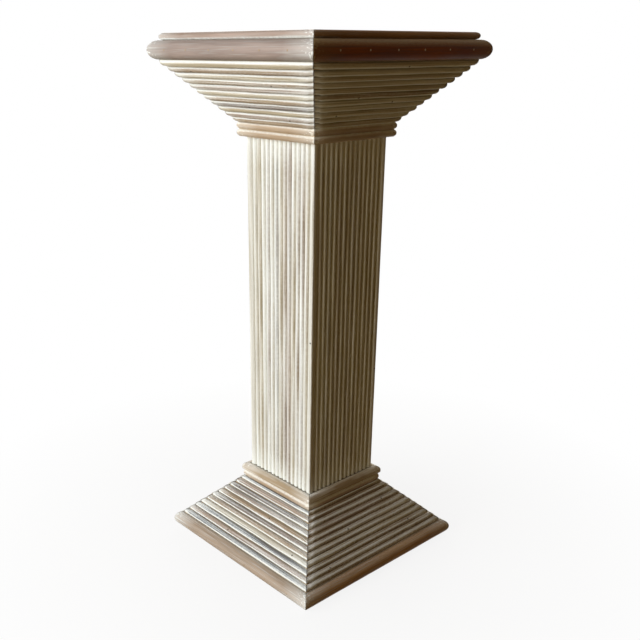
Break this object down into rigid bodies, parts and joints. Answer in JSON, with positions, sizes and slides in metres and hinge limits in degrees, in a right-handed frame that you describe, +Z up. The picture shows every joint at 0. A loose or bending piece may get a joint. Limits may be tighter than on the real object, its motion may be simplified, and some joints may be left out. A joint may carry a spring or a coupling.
{
  "type": "pedestal column stand",
  "caption": "Square plywood pedestal with a flaring capital and base, skinned in half-round pencil reed with a whitewashed finish, to display a vase, plant or sculpture.",
  "frame": {"origin": "centre of the footprint, on the floor", "axes": "+Z up along the column, -Y out of the front side, +X out of the right side"},
  "size_m": [0.3266, 0.3266, 0.762],
  "materials": {
    "reed": "split rattan reed with a limed whitewash, satin",
    "rail_wood": "half-round hardwood, limed whitewash, satin",
    "trim_reed": "half-round reed, limed whitewash, satin",
    "cap_wood": "rounded strip, tan stain under a thin wash, satin",
    "panel_ply": "plywood with a limed whitewash, satin",
    "plywood": "plywood, unfinished",
    "softwood": "planed softwood, unfinished",
    "steel": "zinc-plated steel"
  },
  "bodies": {
    "root": {"top_panel": "panel_ply", "top_trim": "trim_reed", "top_rail_front": "rail_wood", "top_rail_right": "rail_wood", "top_rail_back": "rail_wood", "top_rail_left": "rail_wood", "base_rail_front": "rail_wood", "base_rail_right": "rail_wood", "base_rail_back": "rail_wood", "base_rail_left": "rail_wood", "capital_reeds_front": "reed", "capital_reeds_right": "reed", "capital_reeds_back": "reed", "capital_reeds_left": "reed", "shaft_reeds_front": "reed", "shaft_reeds_right": "reed", "shaft_reeds_back": "reed", "shaft_reeds_left": "reed", "base_reeds_front": "reed", "base_reeds_right": "reed", "base_reeds_back": "reed", "base_reeds_left": "reed", "neck_reeds": "reed", "foot_reeds": "reed", "foot_caps": "cap_wood", "capital_panel_front": "plywood", "capital_panel_right": "plywood", "capital_panel_back": "plywood", "capital_panel_left": "plywood", "neck_band_front": "plywood", "neck_band_right": "plywood", "neck_band_back": "plywood", "neck_band_left": "plywood", "shaft_panel_front": "plywood", "shaft_panel_right": "plywood", "shaft_panel_back": "plywood", "shaft_panel_left": "plywood", "foot_band_front": "plywood", "foot_band_right": "plywood", "foot_band_back": "plywood", "foot_band_left": "plywood", "base_panel_front": "plywood", "base_panel_right": "plywood", "base_panel_back": "plywood", "base_panel_left": "plywood", "base_board": "plywood", "top_batten_front": "softwood", "top_batten_right": "softwood", "top_batten_back": "softwood", "top_batten_left": "softwood", "base_batten_front": "softwood", "base_batten_right": "softwood", "base_batten_back": "softwood", "base_batten_left": "softwood", "glue_blocks": "softwood", "wood_screws": "steel", "top_brads": "steel", "base_brads": "steel"}
  },
  "joints": []
}
